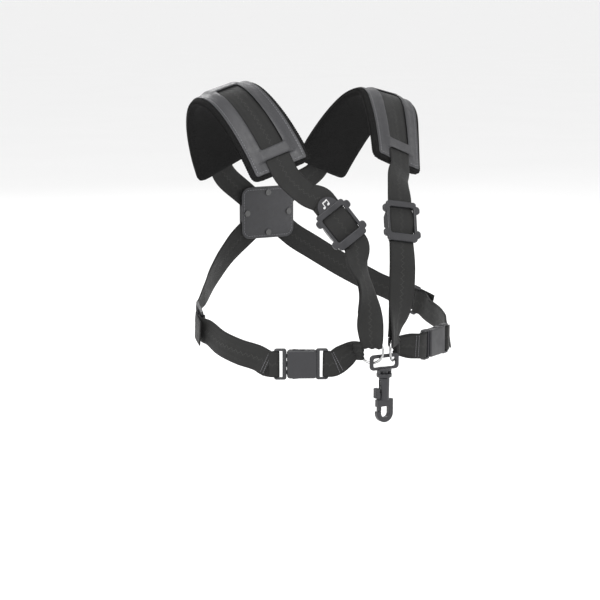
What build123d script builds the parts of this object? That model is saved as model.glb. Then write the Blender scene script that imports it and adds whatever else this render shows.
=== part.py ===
from build123d import *
import os
from math import cos, radians, sin

os.makedirs("parts", exist_ok=True)

# Saxophone harness, worn: +Z up, the wearer faces -Y, the wearer's left is +X.
# The origin is midway between the undersides of the two shoulder pads. Millimetres.

# --- Driving dimensions -------------------------------------------------------
WEB_WIDTH = 25.0
WEB_THICK = 1.3
PAD_WIDTH = 63.0
FOAM_WIDTH = 59.0
PAD_THICK = 7.8
COVER_SKIN = 0.9
PANEL_WIDTH = 54.0
PANEL_THICK = 1.9
WINDOW_WIDTH = 26.6
RING_RADIUS = 11.3
RING_WIRE = 1.2
RING_TURN = 42.0          # the rings face outward by this angle
LOOP_WIDTH = 9.0
EYE_RADIUS = 2.85         # middle of the webbing that turns round a bar or ring
SLIDER_WIDTH = 32.0
SLIDER_LENGTH = 41.0
WING_WIDTH = 39.5
SLIDER_WINDOW = 26.0
BUCKLE_LENGTH = 52.0
BUCKLE_HEIGHT = 30.0
BUCKLE_DEPTH = 9.0
BAR_WIDTH = 3.0           # bars that webbing is looped round
BAR_THICK = 2.8
SLOT_WIDTH = 26.2
REAR_BAR_X = 13.8
EYE_BAR = Vector(0, -143, -235)
CLEAR = 0.3

SIDES = {"right": -1, "left": 1}

# Undersides of the pads, from the chest over the shoulder to the back: place, outward.
PAD_ROUTE = {
    "right": [
        ((-72, -72, -61), (-0.37, -0.75, 0.55)),
        ((-78, -58, -38), (-0.35, -0.66, 0.67)),
        ((-85, -38, -14), (-0.32, -0.48, 0.82)),
        ((-91, -15, 4), (-0.29, -0.22, 0.93)),
        ((-93, 5, 9), (-0.28, 0.02, 0.96)),
        ((-90, 26, 3), (-0.26, 0.34, 0.90)),
        ((-82, 46, -16), (-0.22, 0.66, 0.72)),
        ((-70, 62, -43), (-0.18, 0.86, 0.48)),
        ((-57, 72, -70), (-0.15, 0.92, 0.36)),
    ],
    "left": [
        ((58, -69, -62), (0.30, -0.78, 0.55)),
        ((65, -55, -42), (0.30, -0.68, 0.67)),
        ((74, -37, -21), (0.29, -0.48, 0.82)),
        ((84, -15, -4), (0.27, -0.22, 0.94)),
        ((88, 4, 0), (0.26, 0.02, 0.96)),
        ((86, 25, -6), (0.25, 0.34, 0.91)),
        ((79, 45, -24), (0.22, 0.66, 0.72)),
        ((68, 61, -50), (0.18, 0.86, 0.48)),
        ((57, 71, -76), (0.15, 0.92, 0.36)),
    ],
}

# Front straps between the ring and the slider: place, and the bearing their face turns to
# (degrees from straight ahead, positive to the wearer's left).
CHEST_ROUTE = {
    "right": [
        ((-13.3, -138.5, -206), -32),
        ((-12, -135.5, -190), 0),
        ((-13, -133, -174), 26),
        ((-17, -131, -158), 34),
        ((-22, -129, -144), 8),
    ],
    "left": [
        ((17, -138.5, -206), 30),
        ((22, -136, -194), 4),
        ((26, -133, -178), -16),
        ((28.5, -130.5, -160), -20),
        ((29.6, -128.8, -147), -16),
    ],
}
SLIDER_PLACE = {"right": Vector(-33, -116, -108.5), "left": Vector(35.5, -116, -110)}
SLIDER_UP = {
    "right": Vector(-0.50, 0.365, 0.785).normalized(),
    "left": Vector(0.194, 0.397, 0.897).normalized(),
}
SLIDER_BEARING = {"right": -14, "left": -8}
SLIDER_RUN_UP = 37.0      # straight webbing above and below each slider's middle
SLIDER_RUN_DOWN = 29.0
UPPER_LINK = {"right": ((-63, -94, -75), (-0.32, -0.78, 0.54)),
              "left": ((48, -91, -69), (0.18, -0.80, 0.57))}

# Back of the harness: the straps cross at the patch and go on to the other side.
CROSS = Vector(0, 0, -118)
CROSS_SLOPE = 39.0
CROSS_HALF = 38.0
CROSS_DEPTH = {"right": 88.4, "left": 86.6}
PATCH_WIDTH = 62.0
PATCH_HEIGHT = 54.0
PATCH_THICK = 1.4
RIVETS = [(25, 0), (-25, 0), (0, 21), (0, -21)]
# From the patch round to the wearer's left side; the other strap is its mirror image.
FLANK_ROUTE = [
    ((52, 79, -158), (0.35, 0.93, 0.05)),
    ((78, 61, -177), (0.58, 0.80, 0.05)),
    ((101, 38, -193), (0.78, 0.61, 0.06)),
]
REAR_SLIDER = {"right": Vector(-124, 5, -212), "left": Vector(124, 5, -207)}
REAR_SLIDER_FORWARD = Vector(0.30, -0.92, -0.26).normalized()
REAR_SLIDER_OUT = Vector(0.94, 0.33, 0.02)

# Under the rear slider's back bar, up through the slot, over the middle bar and forward as a spare end.
REAR_WEAVE = [(-26, -1.4), (-13.8, -2.4), (-11.2, -2.3), (-2.4, 2.3), (0.4, 2.6), (9, 4.9), (19, 4.9), (31, 3.9)]

# Side straps, from the rear slider to the buckle.
SIDE_ROUTE = [
    ((129, -26, -218), (1.00, 0.02, 0.05)),
    ((127.5, -48, -224), (0.96, -0.24, 0.05)),
    ((120, -71, -229), (0.85, -0.52, 0.04)),
    ((110, -88, -232), (0.68, -0.73, 0.02)),
]
BUCKLE_PLACE = {"right": Vector(-77, -115.5, -240), "left": Vector(77, -115.5, -232)}
BUCKLE_AXIS = Vector(-0.88, -0.475, 0).normalized()


# --- Helpers ------------------------------------------------------------------
def bearing(angle):
    """Horizontal unit vector turned from straight ahead (-Y) towards +X."""
    return Vector(sin(radians(angle)), -cos(radians(angle)), 0)


def mirrored(vector, sign):
    """The same vector, or its mirror image for the wearer's right side (sign -1)."""
    return Vector(vector.X * sign, vector.Y, vector.Z)


def mirrored_route(route, sign):
    return [(tuple(mirrored(Vector(*p), sign)), tuple(mirrored(Vector(*n), sign))) for p, n in route]


def section_planes(route):
    """One plane across the strap at each station: local X across, local Y outward.

    A station is a place, an outward direction and, where it matters, the direction of travel.
    """
    points = [Vector(*station[0]) for station in route]
    planes = []
    for index, station in enumerate(route):
        before = points[max(index - 1, 0)]
        after = points[min(index + 1, len(points) - 1)]
        ahead = (Vector(*station[2]) if len(station) > 2 else after - before).normalized()
        across = ahead.cross(Vector(*station[1])).normalized()
        planes.append(Plane(origin=points[index], x_dir=across, z_dir=-ahead))
    return planes


def slab(planes, across, height):
    """Solid with one four-sided section in every plane and ruled faces between them.

    Each pair of limits, across and outward, is one pair for all planes or a list of pairs.
    """
    rings = []
    for index, plane in enumerate(planes):
        low, high = across[index] if isinstance(across, list) else across
        bottom, top = height[index] if isinstance(height, list) else height
        corners = [(low, bottom), (high, bottom), (high, top), (low, top)]
        rings.append([plane.from_local_coords(Vector(*corner)) for corner in corners])
    faces = [Face(Wire.make_polygon(ring, close=True)) for ring in (rings[0], rings[-1])]
    for ring, following in zip(rings, rings[1:]):
        for corner in range(4):
            after = (corner + 1) % 4
            near = Edge.make_line(ring[corner], ring[after])
            far = Edge.make_line(following[corner], following[after])
            faces.append(Face.make_surface_from_curves(near, far))
    return Part() + Solid(Shell(faces))


def wrap(centre, outward, away, radius, start, stop):
    """Stations of webbing that turns round a bar, from one angle to another.

    Angle 0 is on the far side of the bar and 90 is on its outer side.
    """
    stations = []
    steps = 4
    for step in range(steps + 1):
        angle = radians(start + (stop - start) * step / steps)
        radial = away * cos(angle) + outward * sin(angle)
        stations.append((tuple(centre + radial * radius), tuple(radial)))
    return stations


def sewn_loop(middle, start_bar, end_bar, bar_widths, width, layer_gap=0.2):
    """Two layers of webbing sewn together, with an eye round a bar at each end.

    The middle holds stations between the bars. Each bar is its centre, its outward direction and
    the direction from the strap across the bar.
    """
    rise = (WEB_THICK + layer_gap) / 2
    outer, inner = [], []
    for place, normal, *ahead in middle:
        out = Vector(*normal).normalized()
        outer.append((tuple(Vector(*place) + out * rise), normal, *ahead))
        back = [tuple(Vector(*direction) * -1) for direction in ahead]
        inner.insert(0, (tuple(Vector(*place) - out * rise), tuple(out * -1), *back))
    end_turn = wrap(*end_bar, EYE_RADIUS, 90, -90)
    start_turn = wrap(*start_bar, EYE_RADIUS, -90, 80)
    planes = section_planes(outer + end_turn + inner + start_turn)
    halves = [w / 2 for w in width] + [bar_widths[1] / 2] * len(end_turn)
    halves += [w / 2 for w in reversed(width)] + [bar_widths[0] / 2] * len(start_turn)
    return slab(planes, [(-half, half) for half in halves], (-WEB_THICK / 2, WEB_THICK / 2))


def save(solid, name):
    solid.label = name
    export_step(solid, f"parts/{name}.step")


# --- Shoulder pads --------------------------------------------------------------
def pad_planes(side):
    return section_planes(PAD_ROUTE[side])


def pad_foam(side):
    gap = COVER_SKIN + 0.1
    half = FOAM_WIDTH / 2 - gap
    inset = trimmed(pad_planes(side), 1.5)
    return slab(inset, (-half, half), (gap, PAD_THICK - gap))


def trimmed(planes, amount):
    """The same planes with the two end planes moved inward along the strap."""
    moved = list(planes)
    for end, inner in ((0, 1), (-1, -2)):
        step = (planes[inner].origin - planes[end].origin).normalized() * amount
        moved[end] = Plane(origin=planes[end].origin + step, x_dir=planes[end].x_dir,
                           z_dir=planes[end].z_dir)
    return moved


def pad_cover(side):
    planes = pad_planes(side)
    half = PAD_WIDTH / 2
    outside = slab(planes, (-half, half), (0, PAD_THICK))
    hollow_half = FOAM_WIDTH / 2 - COVER_SKIN
    hollow = slab(trimmed(planes, 1.2), (-hollow_half, hollow_half), (COVER_SKIN, PAD_THICK - COVER_SKIN))
    return outside - hollow


def pad_panel(side):
    """Leather top: two long margins joined by a bridge over the webbing near each end."""
    planes = trimmed(pad_planes(side), 4.0)
    bottom = PAD_THICK + CLEAR
    top = bottom + PANEL_THICK
    inner = WINDOW_WIDTH / 2
    outer = PANEL_WIDTH / 2
    panel = slab(planes, (-outer, -inner), (bottom, top)) + slab(planes, (inner, outer), (bottom, top))
    for end, inward in ((0, 1), (-2, -1)):
        first, last = planes[end], planes[end + 1]
        if end == 0:
            pair = [shifted(first, last, 0.35), shifted(first, last, 0.75)]
        else:
            pair = [shifted(first, last, 0.25), shifted(first, last, 0.65)]
        panel += slab(pair, (-inner - 4, inner + 4), (top - 0.2, top + 1.5))
    return panel


def shifted(first, last, share):
    """A plane part of the way from one section plane to the next."""
    origin = first.origin + (last.origin - first.origin) * share
    x_dir = (first.x_dir + (last.x_dir - first.x_dir) * share).normalized()
    z_dir = (first.z_dir + (last.z_dir - first.z_dir) * share).normalized()
    return Plane(origin=origin, x_dir=x_dir, z_dir=z_dir)


# --- Rings ------------------------------------------------------------------------
def ring_centre(side):
    return EYE_BAR + Vector(12.5 * SIDES[side], 3.2, 5)


def ring_facing(side):
    return bearing(RING_TURN * SIDES[side])


def ring(side):
    place = Plane(origin=ring_centre(side), z_dir=ring_facing(side))
    return place * Torus(RING_RADIUS, RING_WIRE)


def ring_tangent(side):
    """Horizontal direction in the ring's plane, towards the middle of the chest."""
    inward = Vector(0, 0, 1).cross(ring_facing(side))
    return inward if inward.X * SIDES[side] < 0 else inward * -1


# --- Main straps --------------------------------------------------------------------
def slider_frame(side):
    """Local X across the strap, Y up the strap, Z outward, at the slider's middle."""
    up = SLIDER_UP[side]
    across = up.cross(bearing(SLIDER_BEARING[side])).normalized()
    outward = across.cross(up).normalized()
    return Plane(origin=SLIDER_PLACE[side], x_dir=across, z_dir=outward)


def chest_stations(side):
    """Ring to pad: the places and outward directions of the front run of webbing."""
    frame = slider_frame(side)
    outward = tuple(frame.z_dir)
    stations = [(place, tuple(bearing(angle))) for place, angle in CHEST_ROUTE[side]]
    for run in (-SLIDER_RUN_DOWN, SLIDER_RUN_UP):
        place = SLIDER_PLACE[side] + SLIDER_UP[side] * run
        stations.append((tuple(place), outward, tuple(SLIDER_UP[side])))
    stations.append(UPPER_LINK[side])
    return stations


def strap_height():
    """Middle of the webbing above the pad's underside."""
    return PAD_THICK + CLEAR + WEB_THICK / 2


def pad_stations(side):
    """The webbing's places over the pad."""
    stations = []
    for plane in pad_planes(side):
        place = plane.origin + plane.y_dir * strap_height()
        stations.append((tuple(place), tuple(plane.y_dir), tuple(plane.z_dir * -1)))
    return stations


def back_stations(side):
    """From the pad over the crossing to the other side's rear slider."""
    sign = SIDES[side]
    slope = Vector(-sign * cos(radians(CROSS_SLOPE)), 0, -sin(radians(CROSS_SLOPE)))
    centre = CROSS + Vector(0, CROSS_DEPTH[side], 0)
    stations = []
    for run in (-CROSS_HALF, CROSS_HALF):
        stations.append((tuple(centre + slope * run), (0, 1, 0), tuple(slope)))
    stations += mirrored_route(FLANK_ROUTE, -sign)
    return stations


def rear_slider_frame(side):
    """Local X along the belt towards the front, Z outward."""
    sign = SIDES[side]
    forward = mirrored(REAR_SLIDER_FORWARD, sign)
    outward = mirrored(REAR_SLIDER_OUT, sign)
    across = forward.cross(outward).normalized()
    flat = across.cross(forward).normalized()
    return Plane(origin=REAR_SLIDER[side], x_dir=forward, z_dir=flat)


def main_strap(side):
    """Webbing from the ring, up the chest, over the pad, across the back and through the rear slider."""
    other = "left" if side == "right" else "right"
    ring_top = ring_centre(side) + Vector(0, 0, RING_RADIUS - 0.5)
    facing = ring_facing(side)
    turn = wrap(ring_top, facing, Vector(0, 0, -1), EYE_RADIUS, -90, 90)
    front = turn + chest_stations(side)
    rear_frame = rear_slider_frame(other)
    back = back_stations(side)
    for along, rise in REAR_WEAVE:
        place = rear_frame.origin + rear_frame.x_dir * along + rear_frame.z_dir * rise
        back.append((tuple(place), tuple(rear_frame.z_dir)))
    planes = section_planes(front + pad_stations(side) + back)
    halves = [LOOP_WIDTH / 2] * len(turn) + [11.0]
    halves += [WEB_WIDTH / 2] * (len(planes) - len(halves))
    return slab(planes, [(-half, half) for half in halves], (-WEB_THICK / 2, WEB_THICK / 2))


MID_BAR_LOW = -5.0
MID_BAR_HIGH = -2.6
MID_BAR_HALF = 2.6
# Height and depth of the return layer where its end is sewn round the slider's middle bar.
EYE_ROUTE = [(-20, -2.6), (-13, -4.2), (-7, -5.6), (-2.6, -5.9), (2.6, -5.9), (4.2, -5.2), (4.6, -3.8),
             (4.2, -2.4), (2.6, -1.75), (-2.6, -1.75), (-9, -1.75), (-13, -2.1)]


def return_strap(side):
    """The webbing's second layer, from above the ring up to its sewn eye on the slider."""
    drop = WEB_THICK + CLEAR
    stations = []
    for plane in section_planes(chest_stations(side))[1:6]:
        place = plane.origin - plane.y_dir * drop
        stations.append((tuple(place), tuple(plane.y_dir), tuple(plane.z_dir * -1)))
    frame = slider_frame(side)
    points = [frame.origin + frame.y_dir * up + frame.z_dir * out for up, out in EYE_ROUTE]
    for index, point in enumerate(points):
        before, after = points[max(index - 1, 0)], points[min(index + 1, len(points) - 1)]
        stations.append((tuple(point), tuple(frame.x_dir.cross(after - before))))
    planes = section_planes(stations)
    return slab(planes, (-WEB_WIDTH / 2, WEB_WIDTH / 2), (-WEB_THICK / 2, WEB_THICK / 2))


# --- Front sliders ----------------------------------------------------------------------
def front_slider(side):
    """Ladder frame: end bars in front of the webbing, middle bar behind it."""
    outline = RectangleRounded(SLIDER_WIDTH, SLIDER_LENGTH, 3)
    for height in (-12.5, 12.5):
        outline += Pos(0, height) * RectangleRounded(WING_WIDTH, 8.0, 3.2)
    window = Pos(0, 1.0) * RectangleRounded(SLIDER_WINDOW, 27.0, 2.0)
    face_low, face_high = 0.95, 4.0
    frame = Pos(0, 0, face_low) * extrude(outline - window, face_high - face_low)
    frame = fillet(frame.edges().filter_by(Axis.Z, reverse=True).group_by(Axis.Z)[-1], 0.9)
    rail_width = (SLIDER_WIDTH - SLIDER_WINDOW) / 2
    rail_x = (SLIDER_WIDTH - rail_width) / 2
    profile = make_face(Polyline((-11, face_low + 0.5), (-5, MID_BAR_LOW), (5, MID_BAR_LOW),
                                 (11, face_low + 0.5), close=True))
    for sign in (-1, 1):
        rail = extrude(Plane.YZ * profile, rail_width / 2, both=True)
        frame += Pos(sign * rail_x, 0, 0) * rail
    bar = Pos(0, 0, (MID_BAR_LOW + MID_BAR_HIGH) / 2) * Box(
        SLIDER_WIDTH - 1, 2 * MID_BAR_HALF, MID_BAR_HIGH - MID_BAR_LOW)
    frame += fillet(bar.edges().filter_by(Axis.X), 1.0)
    if side == "right":
        frame += badge_tab()
    return slider_frame(side) * frame


TAB_WIDTH = 22.0
TAB_BASE = 18.0
TAB_TOP = 31.0
TAB_HIGH = 3.4


def badge_tab():
    """Arched plate above the right slider that carries the emblem."""
    outline = Pos(0, TAB_BASE) * Ellipse(TAB_WIDTH / 2, TAB_TOP - TAB_BASE)
    outline = outline & Pos(0, TAB_BASE + 10) * Rectangle(TAB_WIDTH + 2, 20)
    return Pos(0, 0, 0.95) * extrude(outline, TAB_HIGH - 0.95)


def emblem():
    """Two joined music notes in metal, on the badge tab."""
    heads = Pos(-3.0, 22.6) * Rot(0, 0, 20) * Ellipse(1.5, 1.1)
    heads += Pos(2.2, 23.2) * Rot(0, 0, 20) * Ellipse(1.5, 1.1)
    stems = Pos(-1.9, 25.0) * Rectangle(0.7, 4.6) + Pos(3.3, 25.6) * Rectangle(0.7, 4.6)
    beam = Polyline((-2.25, 26.3), (3.65, 27.0), (3.65, 28.3), (-2.25, 27.6), close=True)
    notes = heads + stems + make_face(beam)
    return slider_frame("right") * Pos(0, 0, TAB_HIGH) * extrude(notes, 0.5)


# --- Belt straps and buckles --------------------------------------------------------------
def buckle_frame(side):
    """Local X along the belt towards the ring, Z outward."""
    sign = SIDES[side]
    along = mirrored(BUCKLE_AXIS, sign)
    outward = Vector(-along.Y * sign, along.X * sign, 0)
    return Plane(origin=BUCKLE_PLACE[side], x_dir=along, z_dir=outward)


STRAP_BAR_X = BUCKLE_LENGTH / 2 - 2.0


def strap_bar(sign):
    """Cutters that leave a thin bar for the webbing near one end of the buckle."""
    slot = Pos(sign * (STRAP_BAR_X - BAR_WIDTH / 2 - 2.3), 0) * Box(4.6, SLOT_WIDTH, 20)
    beyond = Pos(sign * (STRAP_BAR_X + BAR_WIDTH / 2 + 1.5), 0) * Box(3, SLOT_WIDTH, 20)
    cutters = slot + beyond
    for side in (-1, 1):
        cutters += Pos(sign * STRAP_BAR_X, 0, side * (BAR_THICK / 2 + 5)) * Box(8, SLOT_WIDTH, 10)
    return cutters


def buckle_female(side):
    """Socket half: hollow body with a window in each edge and a strap bar."""
    mouth = -13.5
    body = Pos(mouth / 2 + 7.5, 0) * RectangleRounded(15 - mouth, BUCKLE_HEIGHT - 2.5, 3.0)
    end = Pos(20, 0) * RectangleRounded(12, BUCKLE_HEIGHT, 2.5)
    solid = extrude(body, BUCKLE_DEPTH / 2, both=True)
    solid = fillet(solid.edges().filter_by(Axis.Z, reverse=True), 1.6)
    rim = extrude(end, BUCKLE_DEPTH / 2 - 2.0, both=True)
    solid += fillet(rim.edges().filter_by(Axis.Z, reverse=True), 1.0)
    cavity = Pos(mouth / 2 + 5.0, 0) * Box(11.5 - mouth + 2.5, 24.0, 5.6)
    windows = Pos(-3.0, 0) * Box(13.5, BUCKLE_HEIGHT + 4, 5.6)
    return buckle_frame(side) * (solid - cavity - windows - strap_bar(1))


def buckle_male(side):
    """Plug half: strap bar, base and the middle tongue."""
    base = Pos(-20, 0) * RectangleRounded(12, BUCKLE_HEIGHT, 2.5)
    solid = extrude(base, BUCKLE_DEPTH / 2 - 1.8, both=True)
    solid = fillet(solid.edges().filter_by(Axis.Z, reverse=True), 1.0)
    tongue = Pos(-4.5, 0) * Box(21.0, 5.0, 3.6)
    return buckle_frame(side) * (solid - strap_bar(-1) + tongue)


def buckle_arms(side):
    """Two sprung arms whose catches show in the socket's edge windows."""
    arms = []
    for sign in (-1, 1):
        outline = Polyline((-13.95, 6.2), (-13.95, 9.6), (-9.4, 11.0), (-9.4, 13.6), (-7.4, 14.4), (-2.6, 14.0),
                           (2.6, 10.6), (2.6, 8.6), (-3.0, 9.8), (-7.0, 9.4), close=True)
        arm = extrude(make_face(outline), 2.4, both=True)
        arm = arm if sign > 0 else mirror(arm, about=Plane.XZ)
        arms.append(buckle_frame(side) * arm)
    return Compound(children=arms)


def front_belt_strap(side):
    """Sewn double webbing from the ring to the socket half's bar."""
    ring_point = ring_centre(side) - ring_tangent(side) * (RING_RADIUS - 0.5)
    frame = buckle_frame(side)
    bar = frame.origin + frame.x_dir * STRAP_BAR_X
    inward = ring_tangent(side)
    near_ring = ring_point - inward * 7
    near_bar = bar + frame.x_dir * 7
    ahead = tuple(near_bar - near_ring)
    middle = []
    for share in (0, 0.25, 0.5, 0.75, 1):
        place = near_ring + (near_bar - near_ring) * share
        outward = ring_facing(side) * (1 - share) + frame.z_dir * share
        middle.append((tuple(place), tuple(outward), ahead))
    ends = ((ring_point, ring_facing(side), inward), (bar, frame.z_dir, frame.x_dir * -1))
    return sewn_loop(middle, *ends, (LOOP_WIDTH, 24.0), (15.0, 20.0, 23.0, 24.0, 24.0), 1.4)


def side_strap(side):
    """Sewn double webbing from the plug half's bar round the ribs to the rear slider."""
    sign = SIDES[side]
    frame = buckle_frame(side)
    bar = frame.origin - frame.x_dir * STRAP_BAR_X
    rear = rear_slider_frame(side)
    rear_bar = rear.origin + rear.x_dir * REAR_BAR_X
    lift = Vector(0, 0, BUCKLE_PLACE[side].Z + 236)
    middle = [(tuple(bar - frame.x_dir * 7), tuple(frame.z_dir))]
    count = len(SIDE_ROUTE)
    for index, (place, outward) in enumerate(reversed(mirrored_route(SIDE_ROUTE, sign))):
        share = (count - index) / (count + 1)
        middle.append((tuple(Vector(*place) + lift * share), outward))
    middle.append((tuple(rear_bar + rear.x_dir * 7), tuple(rear.z_dir)))
    ends = ((bar, frame.z_dir, frame.x_dir), (rear_bar, rear.z_dir, rear.x_dir * -1))
    return sewn_loop(middle, *ends, (24.6, 24.6), [24.8] * len(middle))


def rear_slider(side):
    """Three-bar slide that joins the back webbing and the side strap."""
    outline = RectangleRounded(2 * REAR_BAR_X + BAR_WIDTH, 31.5, 2.5)
    solid = extrude(outline, BAR_THICK / 2, both=True)
    solid = fillet(solid.edges().filter_by(Axis.Z, reverse=True), 0.9)
    slot_length = REAR_BAR_X - BAR_WIDTH
    for sign in (-1, 1):
        solid -= Pos(sign * REAR_BAR_X / 2, 0) * Box(slot_length, SLOT_WIDTH, 10)
    return rear_slider_frame(side) * solid


# --- Crossing on the back -------------------------------------------------------------------
def patch(depth):
    """Leather patch over or under the crossing, with a hole for each rivet."""
    outline = RectangleRounded(PATCH_WIDTH, PATCH_HEIGHT, 9)
    for x, z in RIVETS:
        outline -= Pos(x, z) * Circle(1.6)
    face = Plane(origin=CROSS + Vector(0, depth, 0), x_dir=(1, 0, 0), z_dir=(0, -1, 0))
    return extrude(face * outline, PATCH_THICK / 2, both=True)


PATCH_OUT = CROSS_DEPTH["right"] + WEB_THICK / 2 + CLEAR + PATCH_THICK / 2
PATCH_IN = CROSS_DEPTH["left"] - WEB_THICK / 2 - CLEAR - PATCH_THICK / 2


def rivets():
    """Four tubular rivets through both patches."""
    solids = []
    low = PATCH_IN - PATCH_THICK / 2 - 0.05
    high = PATCH_OUT + PATCH_THICK / 2 + 0.05
    for x, z in RIVETS:
        shank = Pos(0, 0, (low + high) / 2) * Cylinder(1.5, high - low + 1.0)
        heads = Pos(0, 0, low - 0.5) * Cylinder(3.2, 1.0) + Pos(0, 0, high + 0.5) * Cylinder(3.2, 1.0)
        rivet = shank + fillet(heads.edges().group_by(Axis.Z)[-1], 0.5)
        solids.append(Plane(origin=CROSS + Vector(x, 0, z), z_dir=(0, 1, 0)) * rivet)
    return Compound(children=solids)


# --- Swivel hook ------------------------------------------------------------------------------
# Heights below are measured from the eye's top bar, downward negative.
EYE_INNER_WIDTH = 25.4
EYE_OUTER_WIDTH = 32.6
EYE_DEPTH = 3.2
EYE_BAR_HALF = 1.7
EYE_BOTTOM = -10.6
CAGE_TOP = -13.9
CAGE_FLOOR = -16.9
CAGE_BOTTOM = -20.6
STEM_RADIUS = 2.5
BORE_RADIUS = 2.55
BARREL_TOP = -20.9
BARREL_BOTTOM = -43.0
BARREL_RADIUS = 5.3
THROAT_CENTRE = -56.0
THROAT_INNER = 4.4
THROAT_OUTER = 9.2
HOOK_HALF_DEPTH = 2.8
BOLT_TIP = -53.8
BOLT_TOP = -36.0
SPRING_TOP = -23.6


def on_hook(solid):
    return Pos(*EYE_BAR) * solid


def swivel_eye():
    """Loop for the two rings, above a cage that holds the hook's headed stem."""
    eye_low = CAGE_TOP + 0.5
    outer = Pos(0, (EYE_BAR_HALF + eye_low) / 2) * RectangleRounded(
        EYE_OUTER_WIDTH, EYE_BAR_HALF - eye_low, 4.0)
    inner = Pos(0, (EYE_BOTTOM - EYE_BAR_HALF) / 2) * RectangleRounded(
        EYE_INNER_WIDTH, -EYE_BAR_HALF - EYE_BOTTOM, 2.2)
    loop = extrude(Plane.XZ * (outer - inner), EYE_DEPTH / 2, both=True)
    loop = fillet(loop.edges().filter_by(Axis.Y, reverse=True), 1.0)
    top_plate = Pos(0, 0, (EYE_BOTTOM + CAGE_TOP) / 2 - 0.6) * Cylinder(7.2, EYE_BOTTOM - CAGE_TOP - 1.2)
    floor = Pos(0, 0, (CAGE_FLOOR + CAGE_BOTTOM) / 2) * Cylinder(7.5, CAGE_FLOOR - CAGE_BOTTOM)
    floor = fillet(floor.edges().filter_by(GeomType.CIRCLE), 0.8)
    cage = top_plate + floor - Pos(0, 0, CAGE_BOTTOM) * Cylinder(BORE_RADIUS, 20 + CAGE_TOP + 6.2)
    for sign in (-1, 1):
        cage += Pos(sign * 5.8, 0, (CAGE_TOP + CAGE_FLOOR) / 2) * Box(2.0, 5.0, CAGE_TOP - CAGE_FLOOR + 0.8)
    return on_hook(loop + cage)


def hook_outline():
    """Side view of the hook below the barrel, in the XZ plane."""
    bowl = Circle(THROAT_OUTER) & Pos(0, -THROAT_OUTER) * Rectangle(4 * THROAT_OUTER, 2 * THROAT_OUTER)
    limb = (THROAT_OUTER + THROAT_INNER) / 2
    width = THROAT_OUTER - THROAT_INNER
    shape = bowl + Pos(limb, 6.0) * Rectangle(width, 12.0)
    shape += Pos(-limb, 0.95) * Rectangle(width, 1.9)
    shape += Pos(0.2, 10.0) * Rectangle(2 * THROAT_OUTER - 0.4, 7.0)
    return Pos(0, THROAT_CENTRE) * (shape - Circle(THROAT_INNER))


def hook_body():
    """Barrel with headed stem above and the open hook below."""
    hook = extrude(Plane.XZ * hook_outline(), HOOK_HALF_DEPTH, both=True)
    hook = fillet(hook.edges().filter_by(Axis.Y, reverse=True), 0.9)
    barrel = Pos(0, 0, (BARREL_TOP + BARREL_BOTTOM) / 2) * Cone(
        BARREL_RADIUS - 0.4, BARREL_RADIUS, BARREL_TOP - BARREL_BOTTOM)
    barrel = fillet(barrel.edges().group_by(Axis.Z)[-1], 0.8)
    stem = Pos(0, 0, (BARREL_TOP + CAGE_FLOOR) / 2) * Cylinder(STEM_RADIUS, CAGE_FLOOR - BARREL_TOP + 1.0)
    head = Pos(0, 0, CAGE_FLOOR + 1.3) * Cylinder(4.0, 2.2)
    body = hook + barrel + stem + head
    body -= Pos(-4.6, 0, (SPRING_TOP + BARREL_BOTTOM) / 2 - 1) * Box(6.8, 3.9, SPRING_TOP - BARREL_BOTTOM + 2)
    body -= Pos(-5.7, 0, -48) * Box(4.4, 3.9, 12.0)
    return on_hook(body)


def latch_bolt():
    """Sliding bolt that closes the hook, with a ribbed thumb knob."""
    rod = Pos(-5.7, 0, (BOLT_TIP + BOLT_TOP) / 2) * Box(3.6, 3.2, BOLT_TOP - BOLT_TIP)
    foot = Pos(-4.5, 0, BOLT_TOP - 2.5) * Box(5.8, 3.2, 5.0)
    knob = Pos(-8.4, 0, BOLT_TOP) * Box(3.4, 6.4, 10.0)
    knob = fillet(knob.edges().filter_by(Axis.X), 0.9)
    for rib in range(4):
        knob += Pos(-10.2, 0, BOLT_TOP - 3.6 + 2.4 * rib) * Box(0.7, 5.2, 1.1)
    return on_hook(rod + foot + knob)


def latch_spring():
    """Compression spring above the bolt's foot."""
    wire = 0.25
    coil_radius = 1.15
    low = BOLT_TOP + wire + 0.1
    high = SPRING_TOP - wire - 0.1
    path = Helix(pitch=(high - low) / 7, height=high - low, radius=coil_radius)
    profile = Plane(origin=path @ 0, z_dir=path % 0) * Circle(wire)
    return on_hook(Pos(-3.2, 0, low) * sweep(profile, path=path, is_frenet=True))


# --- All parts --------------------------------------------------------------------------------------
SIDE_PARTS = {
    "pad_foam": pad_foam,
    "pad_cover": pad_cover,
    "pad_panel": pad_panel,
    "main_strap": main_strap,
    "return_strap": return_strap,
    "ring": ring,
    "front_slider": front_slider,
    "front_belt_strap": front_belt_strap,
    "buckle_female": buckle_female,
    "buckle_male": buckle_male,
    "buckle_arms": buckle_arms,
    "side_strap": side_strap,
    "rear_slider": rear_slider,
}

for side_name in SIDES:
    for part_name, build in SIDE_PARTS.items():
        save(build(side_name), f"{side_name}_{part_name}")

save(emblem(), "slider_emblem")
save(patch(PATCH_OUT), "cross_patch_outer")
save(patch(PATCH_IN), "cross_patch_inner")
save(rivets(), "cross_rivets")
save(swivel_eye(), "swivel_eye")
save(hook_body(), "hook_body")
save(latch_bolt(), "latch_bolt")
save(latch_spring(), "latch_spring")
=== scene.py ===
import math
import random

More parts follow.
